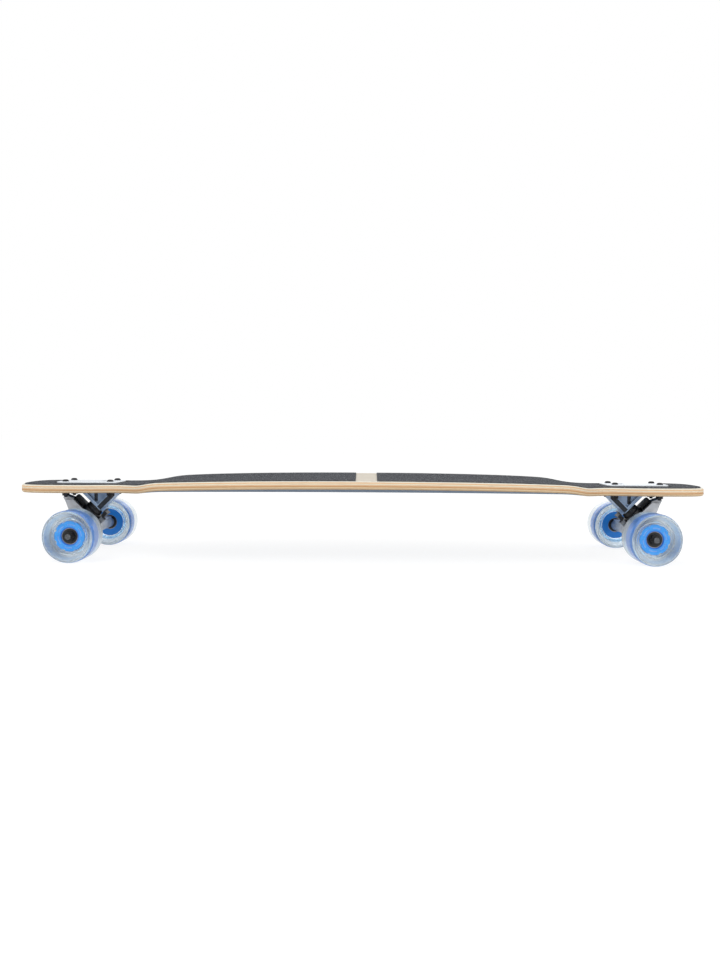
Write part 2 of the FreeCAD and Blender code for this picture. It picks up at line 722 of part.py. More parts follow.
def make_hanger(end, place):
    tilt = steer_frame()
    axle = axle_in_steer()
    half_ring = "ring_thickness / 2"
    ring = rod(end + "_ring", "ring_radius", "z", ("0", "0", f"-{half_ring}"), "ring_thickness", tilt)
    yoke, pad = padded_outline(
        end + "_yoke", "XY_Plane",
        (("0", "-yoke_width / 2"), ("yoke_length", "-yoke_width / 2"),
         ("yoke_length", "yoke_width / 2"), ("0", "yoke_width / 2")),
        "ring_thickness", True)
    rounded(yoke, pad, end + "_yoke_corners", upright, "yoke_corner")
    yoke.Placement = tilt
    nose_start = "ring_radius - ring_recess"
    nose = turned(end + "_nose", (
        ("0", "nose_reach"),
        ("0", nose_start),
        ("nose_radius", nose_start),
        ("nose_radius", "nose_reach - nose_radius / 2 - pivot_clearance"),
        ("nose_radius / 2 - pivot_clearance", "nose_reach")))
    nose.Placement = tilt * Placement(Vector(), Rotation(Vector(0, 1, 0), -90))
    web = block(end + "_web", ("-pivot_cup_start + web_gap", "-web_width / 2", f"{axle.z}"),
                (bushing_side, "web_width / 2", "0"), tilt)
    # a wall outside the kingpin nut, joined to the beam by a rib on each side
    wall_near = "bushing_radius + bushing_clearance + wall_clearance"
    wall_top = "-ring_thickness / 3"
    front = ((wall_near, wall_top), ("yoke_length - yoke_corner", wall_top),
             ("rib_reach", "-rib_depth"), ("wall_foot", "-wall_depth"))
    wall = padded_outline(
        end + "_wall", "XZ_Plane", front + ((wall_near, "-wall_depth + yoke_corner"),),
        "2 * (rib_inner_half_width + rib_thickness)", True)[0]
    wall.Placement = tilt
    # its middle reaches on up between the mounting bolts
    tongue = padded_outline(
        end + "_tongue", "XZ_Plane",
        (front[1], ("tongue_reach", "-tongue_top"),
         ("tongue_reach - tongue_end / 2", "-tongue_top - tongue_end"), front[3]), "tongue_width", True)[0]
    tongue.Placement = tilt
    ribs = [wall, tongue]
    for side in (-1, 1):
        rib = padded_outline(
            end + "_rib", "XZ_Plane",
            front + ((f"{axle.x} + beam_radius / 2", f"{axle.z} - beam_radius / 2"),
                     (f"{axle.x} - beam_radius / 2", f"{axle.z}"),
                     (f"{axle.x}", f"{wall_top} - ring_thickness"), ("-ring_radius / 2", wall_top)),
            "rib_thickness", True)[0]
        across = worth("rib_inner_half_width + rib_thickness / 2") * side
        rib.Placement = tilt * Placement(Vector(0, across, 0), Rotation())
        ribs.append(rib)
    beam = turned(end + "_beam", (
        ("0", "-hanger_width / 2"),
        ("beam_collar_radius", "-hanger_width / 2"),
        ("beam_collar_radius", "-hanger_width / 2 + beam_collar_length"),
        ("beam_end_radius", "-hanger_width / 2 + beam_collar_length"),
        ("beam_radius", "-beam_middle_width / 2"),
        ("beam_radius", "beam_middle_width / 2"),
        ("beam_end_radius", "hanger_width / 2 - beam_collar_length"),
        ("beam_collar_radius", "hanger_width / 2 - beam_collar_length"),
        ("beam_collar_radius", "hanger_width / 2"),
        ("0", "hanger_width / 2")))
    beam.Placement = Placement(spot(z="wheel_radius"), along["y"])
    ledges = []
    ledge_top = "wheel_radius + beam_end_radius + ledge_height"
    ledge_end = "hanger_width / 2 - ledge_margin"
    for low, high in ((f"-({ledge_end})", "-ledge_start"), ("ledge_start", ledge_end)):
        ledges.append(block(end + "_ledge", ("-ledge_width / 2", low, "wheel_radius"),
                            ("ledge_width / 2", high, ledge_top)))
    solid = fused(end + "_hanger_solid", [ring, yoke, nose, web, beam] + ledges + ribs)
    bore = rod(end + "_ring_bore", "ring_bore_radius", "z", ("0", "0", "-ring_thickness"),
               "2 * ring_thickness", tilt)
    recess = "bushing_radius + bushing_clearance"
    upper = rod(end + "_upper_recess", recess, "z", ("0", "0", board_bushing_bottom),
                "ring_recess + overrun", tilt)
    lower = rod(end + "_lower_recess", recess, "z", ("0", "0", f"{road_bushing_end} - overrun"),
                f"-{half_ring} + ring_recess - ({road_bushing_end}) + overrun", tilt)
    tunnel = rod(end + "_axle_bore", "axle_radius + axle_bore_clearance", "y",
                 ("0", "-hanger_width / 2 - overrun", "wheel_radius"), "hanger_width + 2 * overrun")
    node(cut(end + "_hanger_cut", solid, [bore, upper, lower, tunnel]), end + "_hanger", place)


# a plain shaft with a slightly thinner lead outside each nut
def make_axle(end, place):
    lies = place * Placement(spot(z="wheel_radius"), along["y"])
    node(turned(end + "_axle_turned", (
        ("0", f"-{half_axle}"),
        ("axle_lead_radius - axle_chamfer", f"-{half_axle}"),
        ("axle_lead_radius", f"-{half_axle} + axle_chamfer"),
        ("axle_lead_radius", f"-{half_axle} + axle_lead_length"),
        ("axle_radius", f"-{half_axle} + axle_lead_length"),
        ("axle_radius", f"{half_axle} - axle_lead_length"),
        ("axle_lead_radius", f"{half_axle} - axle_lead_length"),
        ("axle_lead_radius", f"{half_axle} - axle_chamfer"),
        ("axle_lead_radius - axle_chamfer", half_axle),
        ("0", half_axle))), end + "_axle", lies)
    nuts = []
    washers = []
    hole = "axle_radius + thread_clearance"
    inner_washer = "hanger_width / 2"
    outer_washer = f"hanger_width / 2 + {wheel_stack} - washer_thickness"
    nut_start = f"hanger_width / 2 + {wheel_stack}"
    for turn in (Rotation(), Rotation(Vector(1, 0, 0), 180)):
        flip = Placement(Vector(), turn)
        for start in (inner_washer, outer_washer):
            ring = rod(end + "_washer", "washer_radius", "z", ("0", "0", start), "washer_thickness", flip)
            bore = rod(end + "_washer_bore", hole, "z", ("0", "0", f"{start} - overrun"),
                       "washer_thickness + 2 * overrun", flip)
            washers.append(cut(end + "_washer_cut", ring, [bore]))
        nut = hexagon(end + "_axle_nut", "axle_nut_corner", nut_start, "axle_nut_height", flip)
        collar = rod(end + "_axle_nut_ring", "axle_nut_corner * 3 / 4", "z", ("0", "0", nut_start),
                     "axle_nut_height + axle_nut_collar", flip)
        bore = rod(end + "_axle_nut_bore", hole, "z", ("0", "0", f"{nut_start} - overrun"),
                   "axle_nut_height + axle_nut_collar + 2 * overrun", flip)
        nuts.append(cut(end + "_axle_nut_cut", fused(end + "_axle_nut_solid", [nut, collar]), [bore]))
    node(group(end + "_axle_nut_group", nuts), end + "_axle_nuts", lies)
    node(group(end + "_washer_group", washers), end + "_speed_washers", lies)


# Wheels, each laid out about its own middle with +Z outward

def make_tyre(label, place):
    half = "wheel_width / 2"
    tread = "tread_width / 2"
    floor = f"{half} - face_recess"
    lip_mid_r = "lip_radius + (wheel_radius - lip_radius) * 3 / 4"
    lip_mid_h = f"{half} - ({half} - {tread}) / 4"
    upper = (
        ("core_radius + press_clearance", "core_width / 2"),
        ("core_radius + (face_step_radius - core_radius) / 2", floor),
        ("face_step_radius", floor),
        ("lip_radius - (lip_radius - face_step_radius) / 4", f"{half} - face_recess / 4"),
        ("lip_radius", half),
        (lip_mid_r, lip_mid_h),
        ("wheel_radius", tread),
    )
    lower = tuple((radius, f"-({height})") for radius, height in reversed(upper))
    node(turned(label + "_tyre_turned", upper + lower), label + "_tyre", place)


# the core has its lobes and slots on the outer side only
def make_core(label, place):
    half = "core_width / 2"
    seat = "bearing_radius + bearing_seat_clearance"
    stop = "spacer_length / 2"
    upper = (
        ("core_shoulder_radius", stop),
        (seat, stop),
        (seat, f"{half} - core_lip_chamfer"),
        (f"{seat} + core_lip_chamfer", half),
        ("core_radius - core_lip_chamfer", half),
        ("core_radius", f"{half} - core_lip_chamfer"),
    )
    lower = tuple((radius, f"-({height})") for radius, height in reversed(upper))
    hub = turned(label + "_core_hub", upper + lower)
    tools = []
    for lobe in range(core_lobes):
        turn = Placement(Vector(), Rotation(Vector(0, 0, 1), 360 * (lobe + 1 / 2) / core_lobes))
        tools.append(rod(label + "_core_scallop", "core_lobe_radius", "z",
                         ("core_radius + core_lobe_radius / 2", "0", "0"), f"{half} + overrun", turn))
    for slot in range(core_slots):
        ring = rod(label + "_slot_out", "core_slot_outer_radius", "z",
                   ("0", "0", f"{half} - core_slot_depth"), "core_slot_depth + overrun")
        inner = rod(label + "_slot_in", "core_slot_inner_radius", "z",
                    ("0", "0", f"{half} - core_slot_depth - overrun"), "core_slot_depth + 3 * overrun")
        ring.Angle = 360 * slot_arc_share / core_slots
        arc = cut(label + "_slot_arc", ring, [inner])
        arc.Placement = Placement(Vector(), Rotation(Vector(0, 0, 1), 360 * slot / core_slots))
        tools.append(arc)
    node(cut(label + "_core_cut", hub, tools), label + "_core", place)


def make_bearings(label, place):
    outer_rings = []
    inner_rings = []
    shields = []
    balls = []
    pitch = "(outer_ring_inner_radius + inner_ring_outer_radius) / 2"
    for side in (-1, 1):
        middle = f"{side} * (spacer_length + bearing_width) / 2"
        low = f"{middle} - bearing_width / 2"
        outer = rod(label + "_outer_ring", "bearing_radius", "z", ("0", "0", low), "bearing_width")
        opening = rod(label + "_outer_ring_bore", "outer_ring_inner_radius", "z",
                      ("0", "0", f"{low} - overrun"), "bearing_width + 2 * overrun")
        inner = rod(label + "_inner_ring", "inner_ring_outer_radius", "z", ("0", "0", low), "bearing_width")
        bore = rod(label + "_inner_ring_bore", "axle_radius + thread_clearance", "z",
                   ("0", "0", f"{low} - overrun"), "bearing_width + 2 * overrun")
        for ring, hole, rings in ((outer, opening, outer_rings), (inner, bore, inner_rings)):
            race = doc.addObject("Part::Torus", label + "_race")
            bind(race, "Radius1", pitch)
            bind(race, "Radius2", "ball_radius + race_clearance")
            race.Placement = Placement(spot(z=middle), Rotation())
            rings.append(cut(label + "_ring_cut", ring, [hole, race]))
        for face in (-1, 1):
            sunk = "bearing_width / 2 - shield_sink - shield_thickness"
            start = f"{middle} + {sunk}" if face > 0 else f"{middle} - ({sunk}) - shield_thickness"
            disc = rod(label + "_shield", "outer_ring_inner_radius - shield_edge_clearance", "z",
                       ("0", "0", start), "shield_thickness")
            hole = rod(label + "_shield_hole", "shield_inner_radius", "z", ("0", "0", f"{start} - overrun"),
                       "shield_thickness + 2 * overrun")
            shields.append(cut(label + "_shield_cut", disc, [hole]))
        for number in range(ball_count):
            turn = Placement(Vector(), Rotation(Vector(0, 0, 1), 360 * number / ball_count))
            ball = doc.addObject("Part::Sphere", label + "_ball")
            bind(ball, "Radius", "ball_radius")
            ball.Placement = turn * Placement(spot(pitch, "0", middle), Rotation())
            balls.append(ball)
    node(group(label + "_outer_ring_group", outer_rings), label + "_bearing_outer_rings", place)
    node(group(label + "_inner_ring_group", inner_rings), label + "_bearing_inner_rings", place)
    node(group(label + "_shield_group", shields), label + "_bearing_shields", place)
    node(group(label + "_ball_group", balls), label + "_bearing_balls", place)
    tube = rod(label + "_spacer_tube", "spacer_radius", "z", ("0", "0", "-spacer_length / 2"),
               "spacer_length")
    hole = rod(label + "_spacer_hole", "axle_radius + thread_clearance", "z",
               ("0", "0", "-spacer_length / 2 - overrun"), "spacer_length + 2 * overrun")
    node(cut(label + "_spacer_cut", tube, [hole]), label + "_bearing_spacer", place)


make_deck()
make_grip()
for end, sign in (("front", -1), ("rear", 1)):
    place = truck_place(sign)
    make_baseplate(end, place)
    make_mounting(end, place)
    make_kingpin(end, place)
    make_bushings(end, place)
    make_pivot_cup(end, place)
    make_hanger(end, place)
    make_axle(end, place)
    for side, across in (("left", -1), ("right", 1)):
        outward = Rotation(Vector(1, 0, 0), -90 * across)
        middle = spot(f"{sign} * {half_wheelbase}", f"{across} * ({half_track})", "wheel_radius")
        wheel_place = Placement(middle, outward)
        wheel = f"{end}_{side}"
        make_tyre(wheel, wheel_place)
        make_core(wheel, wheel_place)
        make_bearings(wheel, wheel_place)
doc.recompute()

for thing in doc.Objects:
    if "Invalid" in thing.State or "Error" in thing.State:
        raise RuntimeError(f"{thing.Label} failed: {thing.State}")
for thing in nodes:
    if thing.Shape.isNull() or not thing.Shape.isValid():
        raise RuntimeError(f"{thing.Label} has no valid shape")

os.makedirs("parts", exist_ok=True)
for thing in nodes:
    thing.Shape.exportStep(f"parts/{thing.Label}.step")
    print(thing.Label, len(thing.Shape.Solids), round(thing.Shape.Volume))
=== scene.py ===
import json
import math

import bmesh
import bpy
from mathutils import Matrix, Vector


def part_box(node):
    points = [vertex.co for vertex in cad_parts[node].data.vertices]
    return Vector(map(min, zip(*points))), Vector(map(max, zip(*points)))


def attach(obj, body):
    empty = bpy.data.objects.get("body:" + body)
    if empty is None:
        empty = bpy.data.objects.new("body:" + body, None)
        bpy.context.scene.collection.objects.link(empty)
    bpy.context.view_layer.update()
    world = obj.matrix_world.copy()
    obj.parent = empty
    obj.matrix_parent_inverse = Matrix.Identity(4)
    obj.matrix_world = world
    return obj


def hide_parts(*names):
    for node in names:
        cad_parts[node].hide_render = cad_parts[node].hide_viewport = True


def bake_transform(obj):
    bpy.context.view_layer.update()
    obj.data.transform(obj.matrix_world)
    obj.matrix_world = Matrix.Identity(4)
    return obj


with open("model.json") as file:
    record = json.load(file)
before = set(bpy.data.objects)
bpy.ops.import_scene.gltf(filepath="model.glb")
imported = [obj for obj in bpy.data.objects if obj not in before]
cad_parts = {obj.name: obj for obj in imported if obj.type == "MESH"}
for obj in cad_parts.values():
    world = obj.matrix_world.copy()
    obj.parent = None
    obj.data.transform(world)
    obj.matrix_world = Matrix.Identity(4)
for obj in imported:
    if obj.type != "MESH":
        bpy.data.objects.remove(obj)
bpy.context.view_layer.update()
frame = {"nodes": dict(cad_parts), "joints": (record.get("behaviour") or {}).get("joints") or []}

scene = bpy.context.scene
scene.view_settings.view_transform = "Standard"
nodes = frame["nodes"]
joints = {joint["name"]: joint for joint in frame["joints"]}
ends = ("front", "rear")
wheels = [end + "_" + side for end in ends for side in ("left", "right")]
print("frame loaded:", len(nodes), "nodes")


# a node's output that takes part in plain sums
class Wire:
    def __init__(self, tree, socket):
        self.tree = tree
        self.socket = socket

    def sum(self, operation, *values):
        return addNode(self.tree, "ShaderNodeMath", {"operation": operation}, dict(enumerate(values)))

    def __add__(self, other):
        return self.sum("ADD", self, other)

    def __sub__(self, other):
        return self.sum("SUBTRACT", self, other)

    def __rsub__(self, other):
        return self.sum("SUBTRACT", other, self)

    def __mul__(self, other):
        return self.sum("MULTIPLY", self, other)

    def __truediv__(self, other):
        return self.sum("DIVIDE", self, other)

    def __rtruediv__(self, other):
        return self.sum("DIVIDE", other, self)

    def __pow__(self, other):
        return self.sum("POWER", self, other)

    def __rpow__(self, other):
        return self.sum("POWER", other, self)

    def __abs__(self):
        return self.sum("ABSOLUTE", self)

    def __lt__(self, other):
        return self.sum("LESS_THAN", self, other)

    def __gt__(self, other):
        return self.sum("GREATER_THAN", self, other)

    __radd__ = __add__
    __rmul__ = __mul__

    def floor(self):
        return self.sum("FLOOR", self)

    def sine(self):
        return self.sum("SINE", self)

    # 0 below low, 1 above high, and a soft step between
    def step(self, low, high):
        return addNode(self.tree, "ShaderNodeMapRange", {"interpolation_type": "SMOOTHSTEP"},
                       {"Value": self, "From Min": low, "From Max": high}, "Result")

    # 1 between two hard limits, 0 outside them
    def within(self, low, high):
        return (self > low) * (self < high)


def feed(tree, slot, value):
    if isinstance(value, Wire):
        tree.links.new(value.socket, slot)
    else:
        slot.default_value = value


def addNode(tree, kind, settings, sockets, output=0):
    node = tree.nodes.new(kind)
    for name, value in settings.items():
        if name == "stops":
            setStops(node.color_ramp, value)
        else:
            setattr(node, name, value)
    for name, value in sockets.items():
        feed(tree, node.inputs[name], value)
    return Wire(tree, node.outputs[output])


def setStops(ramp, stops):
    while len(ramp.elements) < len(stops):
        ramp.elements.new(1.0)
    for element, (position, value) in zip(ramp.elements, stops):
        element.position = position
        element.color = value


# a colour as it looks on a screen, from 0 to 255, in scene light
def colour(red, green, blue):
    def linear(level):
        level = level / 255
        return level / 12.92 if level <= 0.04045 else ((level + 0.055) / 1.055) ** 2.4
    return (linear(red), linear(green), linear(blue), 1.0)


# a plain level and how far a wire moves it
def sway(levels, wire):
    return levels[0] + wire * levels[1]


socketNames = {
    "colour": "Base Color", "roughness": "Roughness", "metallic": "Metallic", "normal": "Normal",
    "transmission": "Transmission Weight", "ior": "IOR", "specular": "Specular IOR Level",
    "glow": "Emission Color", "glowLevel": "Emission Strength",
}


# one material: its shader, its rest-place coordinates and a way to add nodes
class Finish:
    def __init__(self, name):
        self.material = bpy.data.materials.new(name)
        self.material.use_nodes = True
        self.tree = self.material.node_tree
        self.shader = self.tree.nodes["Principled BSDF"]
        self.spot = self.node("ShaderNodeTexCoord", {}, {}, "Object")
        self.x, self.y, self.z = (
            self.node("ShaderNodeSeparateXYZ", {}, {"Vector": self.spot}, axis) for axis in "XYZ")

    def node(self, kind, settings, sockets, output=0):
        return addNode(self.tree, kind, settings, sockets, output)

    def set(self, **sockets):
        for name, value in sockets.items():
            feed(self.tree, self.shader.inputs[socketNames[name]], value)

    def noise(self, scale, detail, stretch=(1, 1, 1), roughness=0.5):
        place = self.node("ShaderNodeVectorMath", {"operation": "MULTIPLY"}, {0: self.spot, 1: stretch})
        return self.node("ShaderNodeTexNoise", {}, {
            "Vector": place, "Scale": scale, "Detail": detail, "Roughness": roughness}, "Fac")

    def mix(self, share, first, second):
        return self.node("ShaderNodeMix", {"data_type": "RGBA"}, {0: share, 6: first, 7: second}, 2)

    # from the first of two tones to the second
    def between(self, share, tones):
        return self.mix(share, colour(*tones[0]), colour(*tones[1]))

    # a tone laid over what is there
    def over(self, share, under, tone):
        return self.mix(share, under, colour(*tone))

    def ramp(self, value, stops, interpolation="LINEAR"):
        toned = [(position, colour(*tone)) for position, tone in stops]
        wire = self.node("ShaderNodeValToRGB", {"stops": toned}, {"Fac": value})
        wire.socket.node.color_ramp.interpolation = interpolation
        return wire

    def bump(self, height, distance, strength):
        self.set(normal=self.node("ShaderNodeBump", {}, {
            "Strength": strength, "Distance": distance, "Height": height}))
        return self


# where the trucks and wheels are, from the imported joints
steerPlace = Vector(joints["rear_steer"]["pos_m"])
steerLean = Vector(joints["rear_steer"]["axis"]).normalized()
wheelPlace = Vector(joints["rear_right_roll"]["pos_m"])


# the steering frame of one end: X up the pivot axis, Z up the kingpin
def steerFrame(end):
    lean = Vector(joints[end + "_steer"]["axis"]).normalized()
    side = Vector((0, math.copysign(1, lean.x), 0))
    turn = Matrix((lean, side, lean.cross(side))).transposed().to_4x4()
    return Matrix.Translation(Vector(joints[end + "_steer"]["pos_m"])) @ turn


# four measures that are the same at both ends and sides: height over the hanger ring, way up
# the pivot axis, distance from the axle and distance from the wheel's middle along it
def overRing(finish):
    return (finish.z - steerPlace.z) * steerLean.x - (abs(finish.x) - steerPlace.x) * steerLean.z


def alongPivot(finish):
    return (abs(finish.x) - steerPlace.x) * steerLean.x + (finish.z - steerPlace.z) * steerLean.z


def wheelRadius(finish):
    across = abs(finish.x) - wheelPlace.x
    upward = finish.z - wheelPlace.z
    return (across * across + upward * upward) ** 0.5


def wheelDepth(finish):
    return abs(abs(finish.y) - wheelPlace.y)


# Meshes
plainAngle = 35        # degrees; an edge that turns more stays sharp


def makePiece(name, vertices, faces, smoothAngle=plainAngle):
    mesh = bpy.data.meshes.new(name)
    mesh.from_pydata(vertices, [], faces)
    mesh.validate()
    finishMesh(mesh, smoothAngle)
    piece = bpy.data.objects.new(name, mesh)
    scene.collection.objects.link(piece)
    return piece


def finishMesh(mesh, smoothAngle):
    work = bmesh.new()
    work.from_mesh(mesh)
    bmesh.ops.recalc_face_normals(work, faces=work.faces)
    work.to_mesh(mesh)
    work.free()
    mesh.polygons.foreach_set("use_smooth", [True] * len(mesh.polygons))
    mesh.set_sharp_from_angle(angle=math.radians(smoothAngle))


def dress(piece, finish):
    piece.data.materials.clear()
    piece.data.materials.append(finish.material)


# a closed outline with its corners rounded: points are radius, height and the rounding there,
# and edgeShare is the most of an edge that one corner may take
def roundCorners(points, steps=5, edgeShare=0.49):
    drawn = []
    for index, (out, up, rounding) in enumerate(points):
        corner = Vector((out, up))
        if rounding == 0:
            drawn.append(corner)
            continue
        before = Vector(points[index - 1][:2]) - corner
        after = Vector(points[(index + 1) % len(points)][:2]) - corner
        half = before.angle(after) / 2
        cut = min(rounding / math.tan(half), before.length * edgeShare, after.length * edgeShare)
        radius = cut * math.tan(half)
        middle = corner + (before.normalized() + after.normalized()).normalized() * radius / math.sin(half)
        start = corner + before.normalized() * cut - middle
        finish = corner + after.normalized() * cut - middle
        for step in range(steps + 1):
            arm = start.lerp(finish, step / steps)
            drawn.append(middle + arm.normalized() * radius)
    return drawn


# a closed outline turned round the Z axis of a frame
def lathe(outline, place, segments):
    vertices = []
    faces = []
    count = len(outline)
    for turn in range(segments):
        angle = 2 * math.pi * turn / segments
        for out, up in outline:
            vertices.append(place @ Vector((out * math.cos(angle), out * math.sin(angle), up)))
    for turn in range(segments):
        following = (turn + 1) % segments
        for index in range(count):
            after = (index + 1) % count
            faces.append((turn * count + index, following * count + index,
                          following * count + after, turn * count + after))
    return vertices, faces


# Deck
deckShape = {
    "thickness": 0.0112, "plies": 7, "edgeRound": 0.003,
    "noseLength": 0.070, "noseHalfWidth": 0.064, "noseFullness": 0.84,
    "concave": 0.010, "camber": 0.0012, "endHollow": 0.75,
    "fade": 0.096, "fadeSteps": 4, "flatFrom": 0.344, "holdShare": 0.790,
    # along the half length, across the half width
    "sideShares": ((0.735, 0.425), (0.690, 0.430), (0.650, 0.545), (0.612, 0.790),
                   (0.530, 0.905), (0.400, 0.965), (0.200, 1.000)),
    "tipPoints": 28, "sidePoints": 220, "acrossPoints": 22, "roundSteps": 6,
    "windowIn": -0.0345, "windowOut": 0.023, "windowHalfWidth": 0.015,
    "boltShift": 0.002, "boltSpacing": (0.0635, 0.0413), "boltHole": 0.00275, "holeSegments": 32,
}
deckLow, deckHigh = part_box("deck")
platformTop = deckLow.z + deckShape["thickness"]


# the soft weight of one station on its neighbourhood
def stationWeight(away):
    away = abs(away)
    if away < 1:
        return (4 - 6 * away ** 2 + 3 * away ** 3) / 6
    return (2 - away) ** 3 / 6 if away < 2 else 0.0


def boardTop(x, y):
    step = deckShape["fade"] / deckShape["fadeSteps"]
    nearest = round(x / step)
    rise = 0.0
    hollow = 0.0
    for station in range(nearest - 2, nearest + 3):
        share = abs(station * step) / deckShape["flatFrom"]
        if abs(station * step) <= deckShape["flatFrom"] - 2 * step:
            weight = stationWeight(x / step - station)
            rise += weight * deckShape["camber"] * (1 - share ** 2)
            hollow += weight * deckShape["concave"] * (1 - (1 - deckShape["endHollow"]) * share ** 2)
    return platformTop + rise + hollow * (y / deckHigh.y) ** 2


# a point of the clamped cubic curve that has these poles
def curvePoint(poles, share):
    spans = len(poles) - 3
    knots = [0] * 4 + list(range(1, spans)) + [spans] * 4
    at = min(share * spans, spans - 1e-9)        # the end counts as part of the last span
    first = int(at) + 3
    work = [poles[first - 3 + index].copy() for index in range(4)]
    for level in range(1, 4):
        for index in range(3, level - 1, -1):
            low = knots[first - 3 + index]
            high = knots[first + 1 + index - level]
            work[index] = work[index - 1].lerp(work[index], (at - low) / (high - low))
    return work[3]


# one side of the plan, from the tip at +X to the tip at -X
def deckSide():
    halfLength = deckHigh.x
    shoulder = halfLength - deckShape["noseLength"]
    width, full = deckShape["noseHalfWidth"], deckShape["noseFullness"]
    poles = [Vector((shoulder, width)), Vector((halfLength * deckShape["holdShare"], width))]
    for along, across in deckShape["sideShares"]:
        poles.append(Vector((halfLength * along, deckHigh.y * across)))
    poles.append(Vector((0, deckHigh.y)))
    poles += [Vector((-pole.x, pole.y)) for pole in reversed(poles[:-1])]
    corner = [Vector((halfLength, 0)), Vector((halfLength, width * full)),
              Vector((shoulder + deckShape["noseLength"] * full, width)), Vector((shoulder, width))]
    tip = [curvePoint(corner, index / deckShape["tipPoints"]) for index in range(deckShape["tipPoints"])]
    count = deckShape["sidePoints"]
    side = [curvePoint(poles, index / count) for index in range(count + 1)]
    return tip + side + [Vector((-point.x, point.y)) for point in reversed(tip)]


def insetSide(side, inset):
    moved = []
    for index, point in enumerate(side):
        before = side[index - 1] if index else Vector((side[1].x, -side[1].y))
        after = side[index + 1] if index + 1 < len(side) else Vector((side[-2].x, -side[-2].y))
        along = (after - before).normalized()
        moved.append(point + inset * Vector((-along.y, along.x)))
    return moved


def makeDeck():
    side = deckSide()
    last = len(side) - 1
    rounding = deckShape["edgeRound"]
    thick = deckShape["thickness"]
    steps = deckShape["roundSteps"]
    loops = []
    for step in range(steps + 1):
        angle = math.pi / 2 * step / steps
        loops.append((rounding * (1 - math.sin(angle)), rounding * (1 - math.cos(angle))))
    loops += [(inset, thick - depth) for inset, depth in reversed(loops)]
    vertices = []
    rings = []
    for inset, depth in loops:
        moved = insetSide(side, inset)
        ring = moved + [Vector((point.x, -point.y)) for point in reversed(moved[1:-1])]
        rings.append(range(len(vertices), len(vertices) + len(ring)))
        vertices += [(point.x, point.y, boardTop(point.x, point.y) - depth) for point in ring]
    faces = []
    around = len(rings[0])
    for upper, lower in zip(rings, rings[1:]):
        for index in range(around):
            after = (index + 1) % around
            faces.append((upper[index], upper[after], lower[after], lower[index]))
    for ring, depth in ((rings[0], 0), (rings[-1], thick)):
        rows = [[ring[0]]]
        for index in range(1, last):
            right = vertices[ring[index]]
            row = [ring[index]]
            for column in range(1, deckShape["acrossPoints"]):
                y = right[1] * (1 - 2 * column / deckShape["acrossPoints"])
                row.append(len(vertices))
                vertices.append((right[0], y, boardTop(right[0], y) - depth))
            rows.append(row + [ring[around - index]])
        rows.append([ring[last]])
        for row, following in zip(rows, rows[1:]):
            if len(row) == 1:
                faces += [(row[0], following[at], following[at + 1]) for at in range(len(following) - 1)]
            elif len(following) == 1:
                faces += [(following[0], row[at + 1], row[at]) for at in range(len(row) - 1)]
            else:
                faces += [(row[at], following[at], following[at + 1], row[at + 1])
                          for at in range(len(row) - 1)]
    deck = makePiece("deck_laminate", vertices, faces)
    cutDeck(deck)
    depths = [boardTop(point.co.x, point.co.y) - point.co.z for point in deck.data.vertices]
    deck.data.attributes.new("plyDepth", "FLOAT", "POINT").data.foreach_set("value", depths)
    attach(deck, "board")
    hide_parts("deck")
    return deck


# the windows for the trucks and their bolt holes
def cutDeck(deck):
    work = bmesh.new()
    tall = deckShape["thickness"] * 3        # well past both faces
    middleZ = platformTop - deckShape["thickness"] / 2
    hole = deckShape["boltHole"]
    for sign in (-1, 1):
        low, high = deckShape["windowIn"], deckShape["windowOut"]
        middle = Vector((sign * (wheelPlace.x + (low + high) / 2), 0, middleZ))
        size = (high - low, 2 * deckShape["windowHalfWidth"], tall)
        place = Matrix.Translation(middle) @ Matrix.Diagonal((*size, 1))
        bmesh.ops.create_cube(work, size=1, matrix=place)
        for endways in (-0.5, 0.5):
            for sideways in (-0.5, 0.5):
                x = sign * (wheelPlace.x + deckShape["boltShift"]) + endways * deckShape["boltSpacing"][0]
                y = sideways * deckShape["boltSpacing"][1]
                bmesh.ops.create_cone(
                    work, cap_ends=True, segments=deckShape["holeSegments"], radius1=hole, radius2=hole,
                    depth=tall, matrix=Matrix.Translation((x, y, middleZ)))
    mesh = bpy.data.meshes.new("cutters")
    work.to_mesh(mesh)
    work.free()
    cutter = bpy.data.objects.new("cutters", mesh)
    scene.collection.objects.link(cutter)
    saw = deck.modifiers.new("windows", "BOOLEAN")
    saw.operation = "DIFFERENCE"
    saw.solver = "EXACT"
    saw.object = cutter
    view = bpy.context.evaluated_depsgraph_get()
    sawn = bpy.data.meshes.new_from_object(deck.evaluated_get(view))
    deck.modifiers.clear()
    deck.data = sawn
    bpy.data.objects.remove(cutter)
    finishMesh(sawn, plainAngle)


# In the looks below an Edge is where a soft step starts and ends, in metres or as a noise level.
# A Noise is its scale, detail, stretch and roughness. A roughness is a plain level and how far
# the noise moves it. A bump is its height in metres and its strength.
woodLook = {
    # the top ply first
    "plies": ((255, 250, 234), (246, 206, 160), (250, 238, 214), (240, 204, 164),
              (214, 164, 118), (238, 214, 176), (218, 188, 148)),
    "grainNoise": (60, 6, (1, 9, 9), 0.6), "grainEdge": (0.35, 0.75), "grainShare": 0.16,
    "poreNoise": (420, 3, (0.12, 1, 1)), "poreEdge": (0.55, 0.75), "poreShare": 0.14,
    "grain": (186, 136, 90), "pores": (140, 100, 64),
    "glue": (120, 84, 54), "glueHalf": 0.06, "glueShare": 0.3,
    "stain": ((96, 120, 146), (58, 80, 108)), "stainDepth": 0.0002,
    "stainEdge": (0.3, 0.8), "stainShare": 0.5,
    "specular": 0.15, "roughness": (0.42, 0.2), "reliefShare": 0.6, "bump": (0.0002, 0.35),
}


